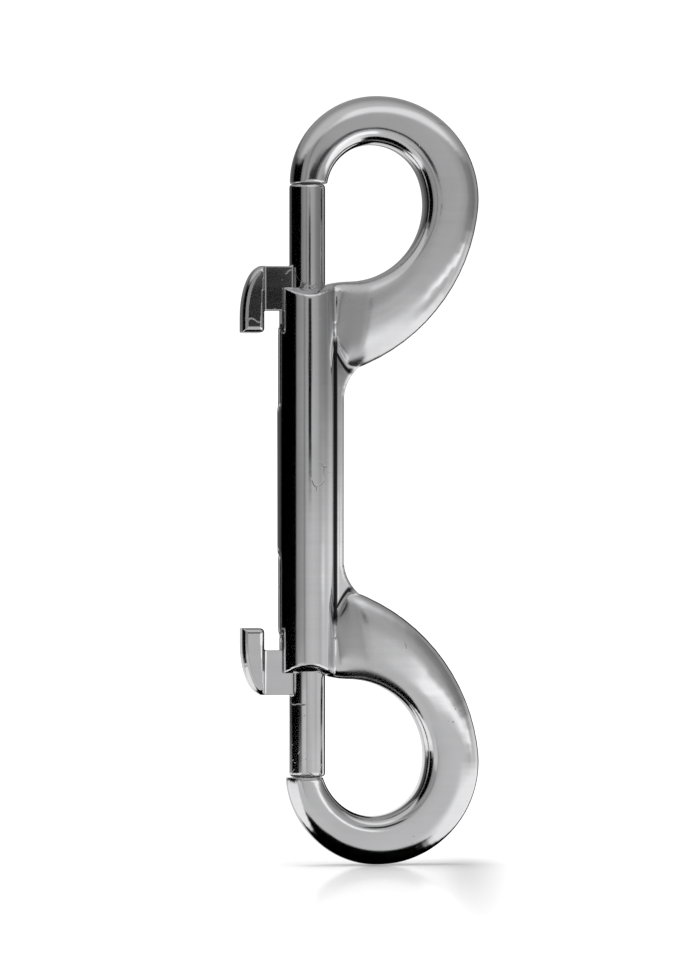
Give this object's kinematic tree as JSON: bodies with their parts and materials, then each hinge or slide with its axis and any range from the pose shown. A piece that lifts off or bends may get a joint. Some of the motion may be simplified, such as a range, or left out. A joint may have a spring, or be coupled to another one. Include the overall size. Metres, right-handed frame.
{
  "type": "double-ended bolt snap",
  "caption": "Cast barrel with a closed hook eye at each end; a spring bolt drawn back by a thumb lug opens each eye.",
  "frame": {"origin": "on the barrel's axis, half-way along it", "axes": "+Z along the barrel towards the upper hook, +X from the barrel to the eyes, +Y through the eyes; the thumb lugs are on the -X side"},
  "size_m": [0.0281, 0.0068, 0.09],
  "materials": {
    "plated_casting": "polished nickel-chrome plate over a zinc casting",
    "plated_bolt": "polished nickel-chrome plate over a zinc casting",
    "spring_steel": "bright drawn steel wire"
  },
  "bodies": {
    "casting": {"body": "plated_casting", "upper_spring": "spring_steel", "lower_spring": "spring_steel"},
    "upper_bolt": {"upper_bolt": "plated_bolt"},
    "lower_bolt": {"lower_bolt": "plated_bolt"}
  },
  "joints": [
    {"name": "upper_bolt_slide", "type": "slide", "parent": "casting", "child": "upper_bolt", "axis": [0, 0, -1], "range_m": [0, 0.0104], "stiffness_N_per_m": 350, "springref_m": -0.006, "deforming": ["upper_spring"]},
    {"name": "lower_bolt_slide", "type": "slide", "parent": "casting", "child": "lower_bolt", "axis": [0, 0, 1], "range_m": [0, 0.0104], "stiffness_N_per_m": 350, "springref_m": -0.006, "deforming": ["lower_spring"]}
  ]
}
